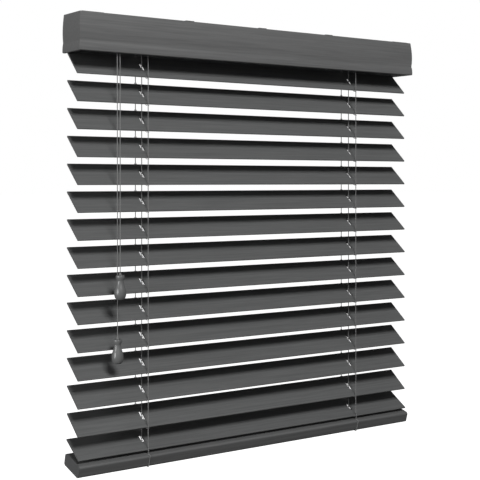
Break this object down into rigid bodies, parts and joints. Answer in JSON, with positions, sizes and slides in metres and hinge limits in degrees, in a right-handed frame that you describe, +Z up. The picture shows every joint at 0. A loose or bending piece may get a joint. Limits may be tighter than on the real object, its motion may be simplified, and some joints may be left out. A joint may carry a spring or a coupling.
{
  "type": "venetian blind",
  "caption": "Wall or recess mounted venetian blind with wide tilting slats, ladder strings, moulded valance, two tilt cords and a spring-assisted cordless lift.",
  "frame": {"origin": "where the wall plane behind the brackets, the ceiling plane on top of the brackets and the middle of the width meet", "axes": "+X along the slats, to the right seen from the room; -Y towards the room; +Z up"},
  "size_m": [0.711, 0.0841, 0.7298],
  "materials": {
    "slat_board": "embossed wood grain, satin",
    "valance_moulding": "embossed wood grain, satin",
    "rail_board": "fine grain, satin",
    "grey_plastic": "fine texture",
    "tassel_plastic": "satin",
    "white_plastic": "plain",
    "grey_steel": "powder coat",
    "zinc_steel": "zinc plated",
    "grey_cord": "braided"
  },
  "bodies": {
    "headrail": {"headrail": "grey_steel", "bracket_left": "grey_steel", "bracket_right": "grey_steel", "valance_board": "valance_moulding", "valance_returns": "valance_moulding", "valance_clips": "grey_plastic", "cradles": "grey_plastic", "tilter_case": "grey_plastic", "motor_case": "grey_plastic", "lift_cord_top": "grey_cord", "tilt_cord_short": "grey_cord", "tilt_cord_long": "grey_cord"},
    "gate_left": {"gate_left": "grey_steel"},
    "gate_right": {"gate_right": "grey_steel"},
    "roller_left": {"roller_left": "white_plastic"},
    "roller_right": {"roller_right": "white_plastic"},
    "tilt_shaft": {"tilt_rod": "zinc_steel", "rocker_left": "grey_plastic", "rocker_right": "grey_plastic", "worm_wheel": "white_plastic"},
    "worm": {"tilter_worm": "white_plastic"},
    "cord_spool": {"cord_spool": "white_plastic"},
    "spring_drum": {"spring_drum": "zinc_steel"},
    "tassel_short": {"tassel_short": "tassel_plastic"},
    "tassel_long": {"tassel_long": "tassel_plastic"},
    "ladder_front": {"ladder_front": "grey_cord"},
    "ladder_rear": {"ladder_rear": "grey_cord"},
    "slat_01": {"slat_01": "slat_board"},
    "slat_02": {"slat_02": "slat_board"},
    "slat_03": {"slat_03": "slat_board"},
    "slat_04": {"slat_04": "slat_board"},
    "slat_05": {"slat_05": "slat_board"},
    "slat_06": {"slat_06": "slat_board"},
    "slat_07": {"slat_07": "slat_board"},
    "slat_08": {"slat_08": "slat_board"},
    "slat_09": {"slat_09": "slat_board"},
    "slat_10": {"slat_10": "slat_board"},
    "slat_11": {"slat_11": "slat_board"},
    "slat_12": {"slat_12": "slat_board"},
    "slat_13": {"slat_13": "slat_board"},
    "slat_14": {"slat_14": "slat_board"},
    "slat_15": {"slat_15": "slat_board"},
    "carrier_02": {"lift_cord_02": "grey_cord"},
    "carrier_03": {"lift_cord_03": "grey_cord"},
    "carrier_04": {"lift_cord_04": "grey_cord"},
    "carrier_05": {"lift_cord_05": "grey_cord"},
    "carrier_06": {"lift_cord_06": "grey_cord"},
    "carrier_07": {"lift_cord_07": "grey_cord"},
    "carrier_08": {"lift_cord_08": "grey_cord"},
    "carrier_09": {"lift_cord_09": "grey_cord"},
    "carrier_10": {"lift_cord_10": "grey_cord"},
    "carrier_11": {"lift_cord_11": "grey_cord"},
    "carrier_12": {"lift_cord_12": "grey_cord"},
    "carrier_13": {"lift_cord_13": "grey_cord"},
    "carrier_14": {"lift_cord_14": "grey_cord"},
    "lift_end": {"lift_cord_15": "grey_cord"},
    "bottom_rail": {"bottom_rail": "rail_board", "rail_caps": "grey_plastic", "ladder_plugs": "grey_plastic"}
  },
  "joints": [
    {"name": "tilt", "type": "hinge", "parent": "headrail", "child": "tilt_shaft", "pos_m": [0, -0.0301, -0.0271], "axis": [1, 0, 0], "range_deg": [-104, 23]},
    {"name": "lift", "type": "slide", "parent": "headrail", "child": "lift_end", "axis": [0, 0, 1], "range_m": [0, 0.466], "deforming": ["lift_cord_15", "lift_cord_top"]},
    {"name": "tilt_01", "type": "hinge", "parent": "headrail", "child": "slat_01", "pos_m": [0, -0.0301, -0.079], "axis": [1, 0, 0], "range_deg": [-109.95, 24.32]},
    {"name": "lift_02", "type": "slide", "parent": "headrail", "child": "carrier_02", "axis": [0, 0, 1], "range_m": [0, 0.034], "deforming": ["lift_cord_02"]},
    {"name": "tilt_02", "type": "hinge", "parent": "carrier_02", "child": "slat_02", "pos_m": [0, -0.0301, -0.123], "axis": [1, 0, 0], "range_deg": [-109.1, 24.13]},
    {"name": "lift_03", "type": "slide", "parent": "headrail", "child": "carrier_03", "axis": [0, 0, 1], "range_m": [0, 0.068], "deforming": ["lift_cord_03"]},
    {"name": "tilt_03", "type": "hinge", "parent": "carrier_03", "child": "slat_03", "pos_m": [0, -0.0301, -0.167], "axis": [1, 0, 0], "range_deg": [-108.25, 23.94]},
    {"name": "lift_04", "type": "slide", "parent": "headrail", "child": "carrier_04", "axis": [0, 0, 1], "range_m": [0, 0.102], "deforming": ["lift_cord_04"]},
    {"name": "tilt_04", "type": "hinge", "parent": "carrier_04", "child": "slat_04", "pos_m": [0, -0.0301, -0.211], "axis": [1, 0, 0], "range_deg": [-107.4, 23.75]},
    {"name": "lift_05", "type": "slide", "parent": "headrail", "child": "carrier_05", "axis": [0, 0, 1], "range_m": [0, 0.136], "deforming": ["lift_cord_05"]},
    {"name": "tilt_05", "type": "hinge", "parent": "carrier_05", "child": "slat_05", "pos_m": [0, -0.0301, -0.255], "axis": [1, 0, 0], "range_deg": [-106.55, 23.56]},
    {"name": "lift_06", "type": "slide", "parent": "headrail", "child": "carrier_06", "axis": [0, 0, 1], "range_m": [0, 0.17], "deforming": ["lift_cord_06"]},
    {"name": "tilt_06", "type": "hinge", "parent": "carrier_06", "child": "slat_06", "pos_m": [0, -0.0301, -0.299], "axis": [1, 0, 0], "range_deg": [-105.7, 23.38]},
    {"name": "lift_07", "type": "slide", "parent": "headrail", "child": "carrier_07", "axis": [0, 0, 1], "range_m": [0, 0.204], "deforming": ["lift_cord_07"]},
    {"name": "tilt_07", "type": "hinge", "parent": "carrier_07", "child": "slat_07", "pos_m": [0, -0.0301, -0.343], "axis": [1, 0, 0], "range_deg": [-104.85, 23.19]},
    {"name": "lift_08", "type": "slide", "parent": "headrail", "child": "carrier_08", "axis": [0, 0, 1], "range_m": [0, 0.238], "deforming": ["lift_cord_08"]},
    {"name": "tilt_08", "type": "hinge", "parent": "carrier_08", "child": "slat_08", "pos_m": [0, -0.0301, -0.387], "axis": [1, 0, 0], "range_deg": [-104, 23]},
    {"name": "lift_09", "type": "slide", "parent": "headrail", "child": "carrier_09", "axis": [0, 0, 1], "range_m": [0, 0.272], "deforming": ["lift_cord_09"]},
    {"name": "tilt_09", "type": "hinge", "parent": "carrier_09", "child": "slat_09", "pos_m": [0, -0.0301, -0.431], "axis": [1, 0, 0], "range_deg": [-104, 23]},
    {"name": "lift_10", "type": "slide", "parent": "headrail", "child": "carrier_10", "axis": [0, 0, 1], "range_m": [0, 0.306], "deforming": ["lift_cord_10"]},
    {"name": "tilt_10", "type": "hinge", "parent": "carrier_10", "child": "slat_10", "pos_m": [0, -0.0301, -0.475], "axis": [1, 0, 0], "range_deg": [-104, 23]},
    {"name": "lift_11", "type": "slide", "parent": "headrail", "child": "carrier_11", "axis": [0, 0, 1], "range_m": [0, 0.34], "deforming": ["lift_cord_11"]},
    {"name": "tilt_11", "type": "hinge", "parent": "carrier_11", "child": "slat_11", "pos_m": [0, -0.0301, -0.519], "axis": [1, 0, 0], "range_deg": [-104, 23]},
    {"name": "lift_12", "type": "slide", "parent": "headrail", "child": "carrier_12", "axis": [0, 0, 1], "range_m": [0, 0.374], "deforming": ["lift_cord_12"]},
    {"name": "tilt_12", "type": "hinge", "parent": "carrier_12", "child": "slat_12", "pos_m": [0, -0.0301, -0.563], "axis": [1, 0, 0], "range_deg": [-104, 23]},
    {"name": "lift_13", "type": "slide", "parent": "headrail", "child": "carrier_13", "axis": [0, 0, 1], "range_m": [0, 0.408], "deforming": ["lift_cord_13"]},
    {"name": "tilt_13", "type": "hinge", "parent": "carrier_13", "child": "slat_13", "pos_m": [0, -0.0301, -0.607], "axis": [1, 0, 0], "range_deg": [-104, 23]},
    {"name": "lift_14", "type": "slide", "parent": "headrail", "child": "carrier_14", "axis": [0, 0, 1], "range_m": [0, 0.442], "deforming": ["lift_cord_14"]},
    {"name": "tilt_14", "type": "hinge", "parent": "carrier_14", "child": "slat_14", "pos_m": [0, -0.0301, -0.651], "axis": [1, 0, 0], "range_deg": [-104, 23]},
    {"name": "tilt_15", "type": "hinge", "parent": "lift_end", "child": "slat_15", "pos_m": [0, -0.0301, -0.69], "axis": [1, 0, 0], "range_deg": [-83.2, 18.4]},
    {"name": "rail_tilt", "type": "hinge", "parent": "lift_end", "child": "bottom_rail", "pos_m": [0, -0.0301, -0.7146], "axis": [1, 0, 0], "range_deg": [-67.6, 14.95]},
    {"name": "ladder_front_swing", "type": "hinge", "parent": "tilt_shaft", "child": "ladder_front", "pos_m": [0, -0.05085, -0.0439], "axis": [1, 0, 0], "range_deg": [-23, 104], "deforming": ["ladder_front"]},
    {"name": "ladder_rear_swing", "type": "hinge", "parent": "tilt_shaft", "child": "ladder_rear", "pos_m": [0, -0.00935, -0.0103], "axis": [1, 0, 0], "range_deg": [-23, 104], "deforming": ["ladder_rear"]},
    {"name": "worm_turn", "type": "hinge", "parent": "headrail", "child": "worm", "pos_m": [-0.282, -0.0301, -0.0395], "axis": [0, 1, 0], "range_deg": [-1040, 230]},
    {"name": "tassel_short_draw", "type": "slide", "parent": "headrail", "child": "tassel_short", "axis": [-0.1961, 0, 0.9806], "range_m": [-0.1407, 0.0312], "deforming": ["tilt_cord_short"]},
    {"name": "tassel_long_draw", "type": "slide", "parent": "headrail", "child": "tassel_long", "axis": [-0.1961, 0, 0.9806], "range_m": [-0.0312, 0.1407], "deforming": ["tilt_cord_long"]},
    {"name": "spool_turn", "type": "hinge", "parent": "headrail", "child": "cord_spool", "pos_m": [-0.026, -0.0301, -0.04155], "axis": [0, 0, 1], "range_deg": [0, 1781]},
    {"name": "drum_turn", "type": "hinge", "parent": "headrail", "child": "spring_drum", "pos_m": [0.026, -0.0301, -0.04155], "axis": [0, 0, 1], "range_deg": [-1781, 0]},
    {"name": "roller_left_turn", "type": "hinge", "parent": "headrail", "child": "roller_left", "pos_m": [-0.21829, -0.0301, -0.0441], "axis": [0, 1, 0], "range_deg": [0, 4686]},
    {"name": "roller_right_turn", "type": "hinge", "parent": "headrail", "child": "roller_right", "pos_m": [0.21829, -0.0301, -0.0441], "axis": [0, 1, 0], "range_deg": [-4686, 0]},
    {"name": "gate_left_slide", "type": "slide", "parent": "headrail", "child": "gate_left", "axis": [1, 0, 0], "range_m": [0, 0.04]},
    {"name": "gate_right_slide", "type": "slide", "parent": "headrail", "child": "gate_right", "axis": [-1, 0, 0], "range_m": [0, 0.04]}
  ],
  "couplings": [
    {"joint": "tilt_01", "follows": "tilt", "ratio": 1.0572},
    {"joint": "lift_02", "follows": "lift", "ratio": 0.072961},
    {"joint": "tilt_02", "follows": "tilt", "ratio": 1.049},
    {"joint": "lift_03", "follows": "lift", "ratio": 0.14592},
    {"joint": "tilt_03", "follows": "tilt", "ratio": 1.0409},
    {"joint": "lift_04", "follows": "lift", "ratio": 0.21888},
    {"joint": "tilt_04", "follows": "tilt", "ratio": 1.0327},
    {"joint": "lift_05", "follows": "lift", "ratio": 0.29185},
    {"joint": "tilt_05", "follows": "tilt", "ratio": 1.0245},
    {"joint": "lift_06", "follows": "lift", "ratio": 0.36481},
    {"joint": "tilt_06", "follows": "tilt", "ratio": 1.0163},
    {"joint": "lift_07", "follows": "lift", "ratio": 0.43777},
    {"joint": "tilt_07", "follows": "tilt", "ratio": 1.0082},
    {"joint": "lift_08", "follows": "lift", "ratio": 0.51073},
    {"joint": "tilt_08", "follows": "tilt", "ratio": 1},
    {"joint": "lift_09", "follows": "lift", "ratio": 0.58369},
    {"joint": "tilt_09", "follows": "tilt", "ratio": 1},
    {"joint": "lift_10", "follows": "lift", "ratio": 0.65665},
    {"joint": "tilt_10", "follows": "tilt", "ratio": 1},
    {"joint": "lift_11", "follows": "lift", "ratio": 0.72961},
    {"joint": "tilt_11", "follows": "tilt", "ratio": 1},
    {"joint": "lift_12", "follows": "lift", "ratio": 0.80258},
    {"joint": "tilt_12", "follows": "tilt", "ratio": 1},
    {"joint": "lift_13", "follows": "lift", "ratio": 0.87554},
    {"joint": "tilt_13", "follows": "tilt", "ratio": 1},
    {"joint": "lift_14", "follows": "lift", "ratio": 0.9485},
    {"joint": "tilt_14", "follows": "tilt", "ratio": 1},
    {"joint": "tilt_15", "follows": "tilt", "ratio": 0.8},
    {"joint": "rail_tilt", "follows": "tilt", "ratio": 0.65},
    {"joint": "ladder_front_swing", "follows": "tilt", "ratio": -1},
    {"joint": "ladder_rear_swing", "follows": "tilt", "ratio": -1},
    {"joint": "worm_turn", "follows": "tilt", "ratio": 10},
    {"joint": "tassel_short_draw", "follows": "tilt", "m_per_rad": 0.077505},
    {"joint": "tassel_long_draw", "follows": "tilt", "m_per_rad": -0.077505},
    {"joint": "spool_turn", "follows": "lift", "rad_per_m": 66.667},
    {"joint": "drum_turn", "follows": "lift", "rad_per_m": -66.667},
    {"joint": "roller_left_turn", "follows": "lift", "rad_per_m": 175.44},
    {"joint": "roller_right_turn", "follows": "lift", "rad_per_m": -175.44}
  ]
}
